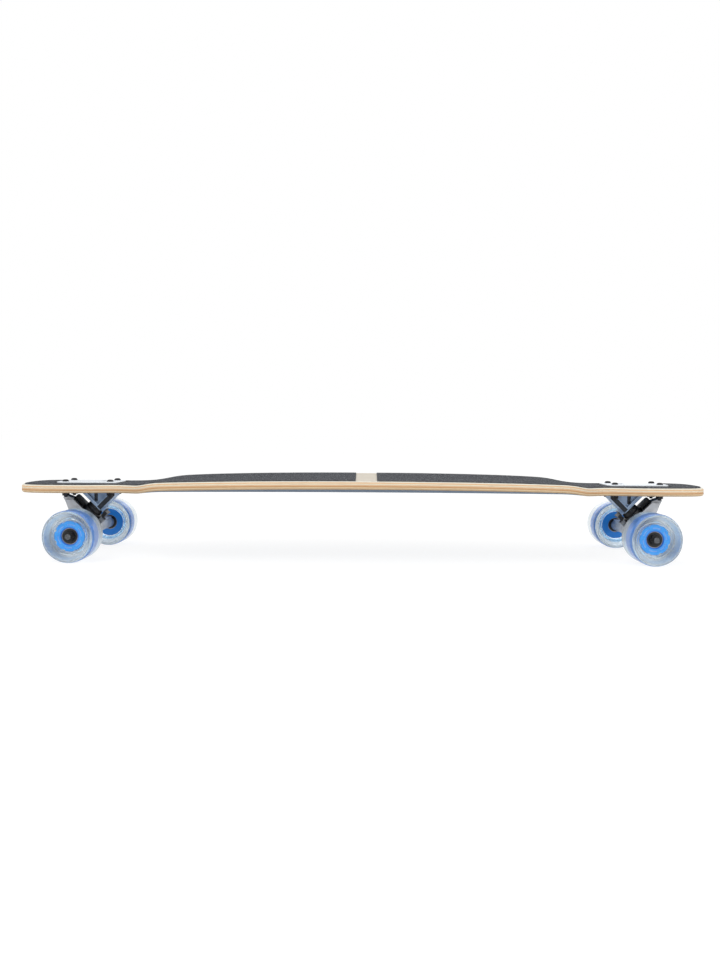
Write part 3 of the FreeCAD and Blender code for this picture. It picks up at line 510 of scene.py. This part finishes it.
def laminateFinish():
    finish = Finish("pressed_maple")
    depth = finish.node("ShaderNodeAttribute", {"attribute_name": "plyDepth"}, {}, "Fac")
    share = depth / deckShape["thickness"]
    ply = share * deckShape["plies"]
    stops = [(index / deckShape["plies"], tone) for index, tone in enumerate(woodLook["plies"])]
    grain = finish.noise(*woodLook["grainNoise"])
    pores = finish.noise(*woodLook["poreNoise"])
    glue = abs(ply - (ply + 0.5).floor()) < woodLook["glueHalf"]
    wood = finish.ramp(share, stops, "CONSTANT")
    wood = finish.over(grain.step(*woodLook["grainEdge"]) * woodLook["grainShare"], wood, woodLook["grain"])
    wood = finish.over(pores.step(*woodLook["poreEdge"]) * woodLook["poreShare"], wood, woodLook["pores"])
    wood = finish.over(glue * woodLook["glueShare"], wood, woodLook["glue"])
    stain = finish.between(grain.step(*woodLook["stainEdge"]) * woodLook["stainShare"], woodLook["stain"])
    wood = finish.mix(depth > deckShape["thickness"] - woodLook["stainDepth"], wood, stain)
    finish.set(colour=wood, roughness=sway(woodLook["roughness"], grain), specular=woodLook["specular"])
    relief = grain * woodLook["reliefShare"] + pores * (1 - woodLook["reliefShare"])
    return finish.bump(relief, *woodLook["bump"])


# Grip
gripLook = {
    "gritScale": 1500,
    "grit": ((0.0, (52, 54, 58)), (0.62, (76, 78, 83)), (0.9, (108, 111, 117)), (1.0, (190, 194, 200))),
    "cloudNoise": (14, 4), "cloudEdge": (0.3, 0.8), "cloudShare": 0.3, "cloud": (80, 83, 88),
    "specular": 0.06, "roughness": (0.6, 0.35), "bump": (0.0006, 0.6),
}


def gripFinish():
    finish = Finish("grip_sheet")
    cells = {"Vector": finish.spot, "Scale": gripLook["gritScale"]}
    grit = finish.node("ShaderNodeTexVoronoi", {"feature": "F1"}, cells, "Distance")
    tone = finish.node("ShaderNodeTexVoronoi", {"feature": "F1"}, cells, "Color")
    level = finish.node("ShaderNodeSeparateColor", {}, {"Color": tone}, "Red")
    cloud = finish.noise(*gripLook["cloudNoise"]).step(*gripLook["cloudEdge"])
    shade = finish.ramp(level, gripLook["grit"])
    shade = finish.over(cloud * gripLook["cloudShare"], shade, gripLook["cloud"])
    finish.set(colour=shade, roughness=sway(gripLook["roughness"], level), specular=gripLook["specular"])
    return finish.bump(1 - grit, *gripLook["bump"])


# Castings
castLook = {"skinNoise": (900, 4), "skinShare": 0.7, "cloudNoise": (70, 5), "cloudEdge": (0.3, 0.75)}
baseLook = {
    # over the deck's flat top
    "flangeEdge": (-0.0002, 0.0002), "shadeEdge": (0.0010, 0.0016),
    # along the pivot axis, over the hanger ring and out from the board's middle
    "armAlong": (-0.0094, -0.0024), "armOver": 0.0128, "armSide": 0.0142,
    # in from the axle, up from it and out from the board's middle
    "grooveIn": 0.0065, "grooveHalf": 0.0026, "grooveUp": (0.0394, 0.0601), "grooveSide": (0.0080, 0.0099),
    # along the pivot axis and over the hanger ring
    "bossEdge": (-0.0135, -0.0132), "toeOver": 0.0045,
    "flange": ((70, 77, 88), (226, 231, 237)), "cheek": ((168, 188, 212), (138, 160, 188)),
    # the arm and groove tones are painted shade
    "arm": (58, 61, 66), "groove": (64, 66, 70),
    "boss": ((176, 179, 184), (128, 131, 136)), "toe": (24, 24, 27),
    "metal": 0.55, "roughness": (0.36, 0.2), "bump": (0.0003, 0.3),
}


# the fine skin and the wider clouds of a cast face
def castGrain(finish):
    return finish.noise(*castLook["skinNoise"]), finish.noise(*castLook["cloudNoise"])


# the baseplate: a bright flange over its shaded edge, pale cheeks with a dark bar of painted shade on the
# arm and a dark groove of painted shade, a bare boss and a black toe
def baseplateFinish():
    finish = Finish("baseplate_casting")
    skin, cloud = castGrain(finish)
    patches = cloud.step(*castLook["cloudEdge"])
    height = finish.z - platformTop
    away = alongPivot(finish)
    over = overRing(finish)
    side = abs(finish.y)
    flange = finish.between(height.step(*baseLook["shadeEdge"]), baseLook["flange"])
    cheek = finish.between(patches, baseLook["cheek"])
    shade = finish.mix(height.step(*baseLook["flangeEdge"]), cheek, flange)
    # painted shade: the arm's dark bar stands for the shade inside the arm's channel
    arm = away.within(*baseLook["armAlong"]) * (side > baseLook["armSide"])
    arm = arm * (over > baseLook["armOver"]) * (height < -deckShape["thickness"])
    shade = finish.over(arm, shade, baseLook["arm"])
    # painted shade: the groove is darkened for the shade that lies inside it
    groove = abs(abs(finish.x) - wheelPlace.x + baseLook["grooveIn"]) < baseLook["grooveHalf"]
    groove = groove * (finish.z - wheelPlace.z).within(*baseLook["grooveUp"])
    groove = groove * side.within(*baseLook["grooveSide"])
    shade = finish.over(groove, shade, baseLook["groove"])
    boss = 1 - away.step(*baseLook["bossEdge"])
    shade = finish.mix(boss, shade, finish.between(patches, baseLook["boss"]))
    toe = boss * (over > baseLook["toeOver"])
    finish.set(colour=finish.over(toe, shade, baseLook["toe"]),
               metallic=(1 - toe) * baseLook["metal"], roughness=sway(baseLook["roughness"], cloud))
    return finish.bump(skin * castLook["skinShare"] + cloud, *baseLook["bump"])


hangerLook = {
    "coatEdge": (0.0033, 0.0037), "coat": (20, 20, 23), "speckNoise": (240, 2), "speckEdge": (0.70, 0.74),
    "bare": ((196, 198, 202), (140, 142, 146)), "cloudShare": 0.6,
    "metal": 0.9, "roughness": (0.36, 0.22), "bump": (0.0003, 0.35),
}


# the hanger: a black coated yoke on a bare casting
def hangerFinish():
    finish = Finish("hanger_casting")
    skin, cloud = castGrain(finish)
    bare = finish.between(cloud.step(*castLook["cloudEdge"]) * hangerLook["cloudShare"], hangerLook["bare"])
    worn = finish.noise(*hangerLook["speckNoise"]).step(*hangerLook["speckEdge"])
    coat = (1 - abs(overRing(finish)).step(*hangerLook["coatEdge"])) * (1 - worn)
    finish.set(colour=finish.over(coat, bare, hangerLook["coat"]),
               metallic=(1 - coat) * hangerLook["metal"], roughness=sway(hangerLook["roughness"], cloud))
    return finish.bump(skin * castLook["skinShare"] + cloud, *hangerLook["bump"])


# Bolts, nuts, steel and moulded pieces
oxideLook = {
    "tones": ((22, 22, 25), (48, 48, 52)), "cloudNoise": (300, 4), "cloudEdge": (0.45, 0.8),
    "metal": 0.3, "roughness": (0.34, 0.2), "bump": (0.0001, 0.4),
}
mouldedLook = {
    "tones": ((20, 20, 22), (34, 34, 37)), "cloudNoise": (500, 5), "cloudEdge": (0.4, 0.8),
    "metal": 0.0, "roughness": (0.42, 0.2), "bump": (0.0001, 0.3),
}
steelLook = {
    "ground": ((170, 172, 176), (206, 208, 212)), "grey": ((78, 80, 84), (108, 110, 114)),
    "lineNoise": (700, 3, (1, 6, 1)), "metal": 1.0, "roughness": (0.2, 0.18), "bump": (0.00005, 0.4),
}


def cloudedFinish(name, look):
    finish = Finish(name)
    cloud = finish.noise(*look["cloudNoise"])
    finish.set(colour=finish.between(cloud.step(*look["cloudEdge"]), look["tones"]),
               metallic=look["metal"], roughness=sway(look["roughness"], cloud))
    return finish.bump(cloud, *look["bump"])


def steelFinish(kind):
    finish = Finish(kind + "_steel")
    lines = finish.noise(*steelLook["lineNoise"])
    finish.set(colour=finish.between(lines, steelLook[kind]),
               metallic=steelLook["metal"], roughness=sway(steelLook["roughness"], lines))
    return finish.bump(lines, *steelLook["bump"])


# Bearings
shieldLook = {
    "tones": ((20, 20, 22), (42, 42, 46)), "cloudNoise": (600, 3), "cloudEdge": (0.4, 0.8),
    "ringScale": 9000, "roughness": (0.3, 0.2), "bump": (0.0001, 0.3),
}
ringLook = {
    # the second tone is a painted highlight on the ring's chamfer
    "tones": ((34, 34, 37), (186, 182, 176)), "cloudNoise": (600, 3), "rimEdge": (0.0102, 0.0104),
    "metal": 0.7, "roughness": (0.28, 0.2), "bump": (0.0001, 0.3),
}


# a shield with the fine rings that pressing leaves
def shieldFinish():
    finish = Finish("black_shield")
    rings = (wheelRadius(finish) * shieldLook["ringScale"]).sine()
    cloud = finish.noise(*shieldLook["cloudNoise"])
    finish.set(colour=finish.between(cloud.step(*shieldLook["cloudEdge"]), shieldLook["tones"]),
               roughness=sway(shieldLook["roughness"], cloud))
    return finish.bump((rings + cloud) / 2, *shieldLook["bump"])


# an outer ring: a dark face inside a thin bright rim, the rim being a painted highlight on the chamfer
def outerRingFinish():
    finish = Finish("bearing_ring")
    cloud = finish.noise(*ringLook["cloudNoise"])
    # painted highlight: a bright steel tone on the chamfer at the ring's outer edge
    rim = wheelRadius(finish).step(*ringLook["rimEdge"])
    finish.set(colour=finish.between(rim, ringLook["tones"]), metallic=rim * ringLook["metal"],
               roughness=sway(ringLook["roughness"], cloud))
    return finish.bump(cloud, *ringLook["bump"])


# Cores
coreLook = {
    # from the axle
    "wallEdge": (0.0197, 0.0199), "boreEdge": (0.0124, 0.0128), "slotWide": (0.0145, 0.0165),
    # along it, from the wheel's middle
    "slotDeep": (0.0110, 0.0135), "innerEdge": (-0.001, 0.001),
    "face": ((66, 156, 236), (96, 180, 248)), "wall": (0, 124, 214), "bore": (42, 104, 206),
    # the inner tone is painted shade and the slot tone a painted highlight
    "inner": (24, 118, 206), "slot": (176, 210, 240),
    # a painted glow: the core gives off a faint blue light, paler in the slots
    "glow": ((4, 122, 214), (120, 170, 226)), "glowLevel": 0.2,
    "cloudNoise": (160, 4), "cloudEdge": (0.35, 0.75), "cloudShare": 0.4,
    "roughness": (0.28, 0.15), "bump": (0.0001, 0.3),
}


# blue, with painted highlights in the slots, deeper on the wall and in the bore, darker on the inner side
# as painted shade, and a faint painted blue glow that is paler in the slots
def coreFinish():
    finish = Finish("blue_nylon")
    radius = wheelRadius(finish)
    cloud = finish.noise(*coreLook["cloudNoise"])
    blue = finish.between(cloud.step(*coreLook["cloudEdge"]) * coreLook["cloudShare"], coreLook["face"])
    blue = finish.over(radius.step(*coreLook["wallEdge"]), blue, coreLook["wall"])
    blue = finish.over(1 - radius.step(*coreLook["boreEdge"]), blue, coreLook["bore"])
    # painted shade: the core's inner side takes a darker blue for the shade it lies in
    inner = 1 - (abs(finish.y) - wheelPlace.y).step(*coreLook["innerEdge"])
    blue = finish.over(inner, blue, coreLook["inner"])
    # painted highlight: the slots are paler and glow paler to stand for bright arcs of light in them
    slot = radius.within(*coreLook["slotWide"]) * wheelDepth(finish).within(*coreLook["slotDeep"])
    finish.set(colour=finish.over(slot, blue, coreLook["slot"]),
               roughness=sway(coreLook["roughness"], cloud),
               glow=finish.between(slot, coreLook["glow"]), glowLevel=coreLook["glowLevel"])
    return finish.bump(cloud, *coreLook["bump"])


# Tyres
tyreShape = {
    # radius, height over the middle, rounding
    "half": ((0.0178, 0.0138, 0), (0.0206, 0.0138, 0.0004), (0.0228, 0.0183, 0.0012),
             (0.0256, 0.0185, 0.0014), (0.0292, 0.0232, 0.0030), (0.0310, 0.02545, 0.0016),
             (0.0338, 0.0245, 0.0022), (0.0350, 0.0207, 0.0030)),
    "segments": 128, "smoothAngle": 50,
}


def makeTyre(wheel):
    half = list(tyreShape["half"])
    mirrored = [(out, -up, rounding) for out, up, rounding in reversed(half)]
    outline = roundCorners(half + mirrored)
    middle = Vector(joints[wheel + "_roll"]["pos_m"])
    place = Matrix.Translation(middle) @ Matrix.Rotation(-math.pi / 2, 4, "X")
    turned = lathe(outline, place, tyreShape["segments"])
    tyre = makePiece(wheel + "_clear_tyre", *turned, tyreShape["smoothAngle"])
    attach(tyre, wheel + "_wheel")
    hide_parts(wheel + "_tyre")
    return tyre


urethaneLook = {
    # along the axle from the wheel's middle, then out from the axle
    "innerEdge": (-0.018, -0.012), "blueEdge": (0.024, 0.028), "lipEdge": (0.0302, 0.0312),
    # the inner tones are painted blue standing for the core seen through the urethane
    "milk": ((228, 237, 241), (241, 246, 248)), "inner": ((112, 172, 226), (200, 213, 221)),
    "lip": (164, 180, 192),
    "rippleNoise": (90, 3), "hazeNoise": (40, 4), "ringScale": 2600, "ringWander": 2, "ringShare": 0.6,
    "transmission": 0.88, "ior": 1.40, "specular": 0.3, "roughness": (0.20, 0.06), "bump": (0.0002, 0.004),
}


# clear, with blue painted into the inner side to stand for the core's blue seen through the urethane, and
# greyer on the lip
def urethaneFinish():
    finish = Finish("clear_urethane")
    radius = wheelRadius(finish)
    ripple = finish.noise(*urethaneLook["rippleNoise"])
    haze = finish.noise(*urethaneLook["hazeNoise"])
    rings = (radius * urethaneLook["ringScale"] + ripple * urethaneLook["ringWander"]).sine() / 2 + 0.5
    cloud = rings * urethaneLook["ringShare"] + haze * (1 - urethaneLook["ringShare"])
    milk = finish.between(cloud, urethaneLook["milk"])
    # painted: the inner side's blue stands for the core seen through the clear urethane
    inner = 1 - (abs(finish.y) - wheelPlace.y).step(*urethaneLook["innerEdge"])
    tint = finish.between(radius.step(*urethaneLook["blueEdge"]), urethaneLook["inner"])
    tint = finish.over(radius.step(*urethaneLook["lipEdge"]), tint, urethaneLook["lip"])
    finish.set(colour=finish.mix(inner, milk, tint), roughness=sway(urethaneLook["roughness"], haze),
               transmission=urethaneLook["transmission"], ior=urethaneLook["ior"],
               specular=urethaneLook["specular"])
    return finish.bump((ripple + rings) / 2, *urethaneLook["bump"])


# Bushings
bushingShape = {
    # radius, height over the hanger ring, rounding
    "board": ((0.0049, 0.0018, 0.0004), (0.01195, 0.0018, 0.0010), (0.01195, 0.0071, 0.0012),
              (0.0112, 0.0083, 0.0008), (0.01195, 0.0095, 0.0012), (0.01195, 0.0148, 0.0010),
              (0.0049, 0.0148, 0.0004)),
    "road": ((0.0049, -0.0018, 0.0004), (0.01195, -0.0018, 0.0006), (0.01195, -0.0038, 0.0012),
             (0.0084, -0.0108, 0.0008), (0.0049, -0.0108, 0.0004)),
    "segments": 72,
}


def makeBushing(end, which):
    outline = roundCorners(bushingShape[which])
    place = steerFrame(end)
    bushing = makePiece(f"{end}_{which}_urethane", *lathe(outline, place, bushingShape["segments"]))
    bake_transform(bushing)
    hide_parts(f"{end}_{which}_bushing")
    return bushing


# Every piece, made and dressed
deck = makeDeck()
dress(deck, laminateFinish())
print("deck:", len(deck.data.vertices), "points")

grip = gripFinish()
for end in ends:
    dress(nodes["grip_tape_" + end], grip)
print("grip dressed")

baseMetal = baseplateFinish()
hangerMetal = hangerFinish()
oxide = cloudedFinish("black_oxide", oxideLook)
steel = steelFinish("ground")
greySteel = steelFinish("grey")
blackUrethane = cloudedFinish("black_urethane", mouldedLook)
for end in ends:
    dress(nodes[end + "_baseplate"], baseMetal)
    dress(nodes[end + "_hanger"], hangerMetal)
    for name in ("mounting_bolts", "mounting_nuts", "kingpin_nut", "axle_nuts"):
        dress(nodes[f"{end}_{name}"], oxide)
    for name in ("kingpin", "cup_washer", "speed_washers"):
        dress(nodes[f"{end}_{name}"], steel)
    dress(nodes[end + "_axle"], greySteel)
    dress(nodes[end + "_pivot_cup"], blackUrethane)
    for which in ("board", "road"):
        dress(makeBushing(end, which), blackUrethane)
print("trucks dressed")

urethane = urethaneFinish()
coreBlue = coreFinish()
shield = shieldFinish()
outerRing = outerRingFinish()
for wheel in wheels:
    dress(makeTyre(wheel), urethane)
    dress(nodes[wheel + "_core"], coreBlue)
    dress(nodes[wheel + "_bearing_shields"], shield)
    dress(nodes[wheel + "_bearing_outer_rings"], outerRing)
    dress(nodes[wheel + "_bearing_inner_rings"], greySteel)
    for name in ("balls", "spacer"):
        dress(nodes[f"{wheel}_bearing_{name}"], steel)
print("wheels dressed")


# Stage, light and camera
stageLook = {
    "floorSize": 30.0, "floor": ((247, 247, 247), (250, 250, 250)), "floorNoise": (3, 2),
    "floorRoughness": 0.9, "floorGlow": 0.74, "glowLevel": 1.17, "worldLight": 0.55,
}


# 1 for what the camera sees, also in metal or through the tyres, and 0 for light on the board
def seenDirectly(tree):
    rays = ("Is Camera Ray", "Is Glossy Ray", "Is Transmission Ray")
    camera, glossy, clear = (addNode(tree, "ShaderNodeLightPath", {}, {}, ray) for ray in rays)
    return camera + glossy + clear > 0.5


def makeFloor():
    half = stageLook["floorSize"] / 2
    corners = [(-half, -half, 0), (half, -half, 0), (half, half, 0), (-half, half, 0)]
    floor = makePiece("floor", corners, [(0, 1, 2, 3)])
    finish = Finish("pale_floor")
    cloud = finish.noise(*stageLook["floorNoise"])
    finish.set(colour=finish.between(cloud, stageLook["floor"]),
               roughness=stageLook["floorRoughness"], specular=0.0)
    share = seenDirectly(finish.tree) * stageLook["floorGlow"]
    plain = Wire(finish.tree, finish.shader.outputs[0])
    glow = finish.node("ShaderNodeEmission", {}, {"Strength": stageLook["glowLevel"]})
    surface = finish.node("ShaderNodeMixShader", {}, {0: share, 1: plain, 2: glow})
    feed(finish.tree, finish.tree.nodes["Material Output"].inputs["Surface"], surface)
    dress(floor, finish)


def makeWorld():
    world = bpy.data.worlds.new("studio")
    scene.world = world
    world.use_nodes = True
    sky = world.node_tree.nodes["Background"]
    sky.inputs["Color"].default_value = (1, 1, 1, 1)
    light = seenDirectly(world.node_tree) * (1 - stageLook["worldLight"]) + stageLook["worldLight"]
    feed(world.node_tree, sky.inputs["Strength"], light)


lamps = {
    "key": {"from": (-0.9, -1.4, 1.9), "at": (0, 0, 0.08), "size": 1.6, "watts": 17},
    "fill": {"from": (1.8, -1.6, 0.9), "at": (0, 0, 0.06), "size": 1.4, "watts": 10},
    "back": {"from": (0.4, 1.9, 1.3), "at": (0, 0, 0.1), "size": 1.6, "watts": 7},
}


def makeLamps():
    for name, look in lamps.items():
        light = bpy.data.lights.new(name, "AREA")
        light.size = look["size"]
        light.energy = look["watts"]
        lamp = bpy.data.objects.new(name, light)
        scene.collection.objects.link(lamp)
        lamp.location = look["from"]
        aim = Vector(look["at"]) - Vector(look["from"])
        lamp.rotation_euler = aim.to_track_quat("-Z", "Y").to_euler()


cameraPlace = {
    "from": (0.0034, -1.415, 0.1785), "down": 0.051, "left": 0.0048, "roll": 0.0056,
    "lens": 36.83, "film": 36.0, "farthest": 60,
}


def makeCamera():
    lens = bpy.data.cameras.new("camera")
    lens.sensor_width = cameraPlace["film"]
    lens.lens = cameraPlace["lens"]
    lens.clip_end = cameraPlace["farthest"]
    camera = bpy.data.objects.new("camera", lens)
    scene.collection.objects.link(camera)
    turn = Matrix.Rotation(cameraPlace["left"], 4, "Z")
    tilt = Matrix.Rotation(math.pi / 2 - cameraPlace["down"], 4, "X")
    roll = Matrix.Rotation(cameraPlace["roll"], 4, "Z")
    camera.matrix_world = Matrix.Translation(cameraPlace["from"]) @ turn @ tilt @ roll
    scene.camera = camera


makeFloor()
makeWorld()
makeLamps()
makeCamera()
print("stage ready")
